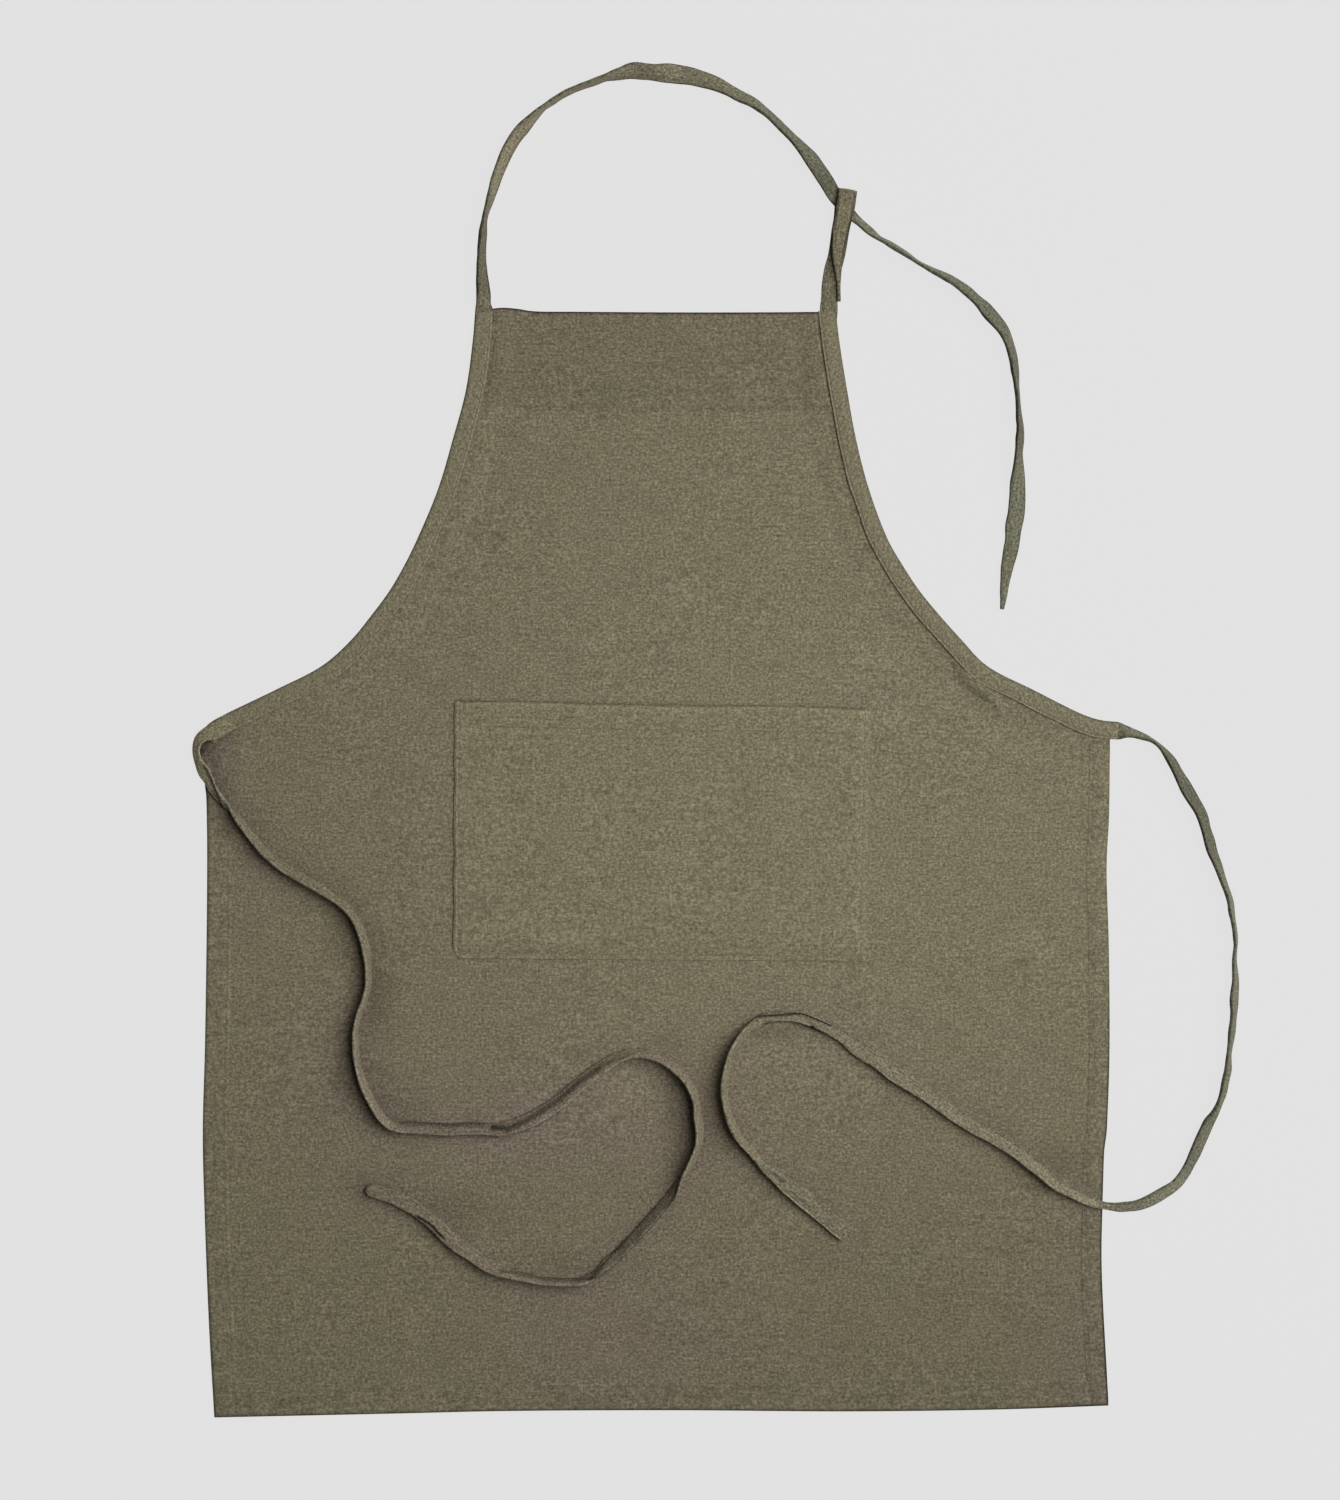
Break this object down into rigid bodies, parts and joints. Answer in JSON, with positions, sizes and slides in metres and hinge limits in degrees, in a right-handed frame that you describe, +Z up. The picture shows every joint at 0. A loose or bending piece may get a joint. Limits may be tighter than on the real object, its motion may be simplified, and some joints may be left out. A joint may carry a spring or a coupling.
{
  "type": "kitchen apron",
  "caption": "Bib apron of washed linen laid flat, with bound armholes, a wide patch pocket, a neck strap through a loop and long waist ties.",
  "frame": {"origin": "on the surface that the apron lies on, under the middle of the waistline", "axes": "+X across the apron to the right as its front is seen, +Y up the bib towards the neck, +Z up out of the front"},
  "size_m": [0.8099, 1.0504, 0.0173],
  "materials": {
    "panel_linen": "matt washed linen, olive with brownish slubs",
    "pocket_linen": "matt washed linen, olive with brownish slubs",
    "binding_linen": "matt washed linen cut on the bias and folded",
    "tape_linen": "matt washed linen folded into tape and edge-stitched"
  },
  "bodies": {
    "root": {"front_panel": "panel_linen", "pocket": "pocket_linen", "armhole_binding_left": "binding_linen", "armhole_binding_right": "binding_linen", "neck_strap": "tape_linen", "neck_loop": "tape_linen", "waist_tie_left": "tape_linen", "waist_tie_right": "tape_linen"}
  },
  "joints": []
}
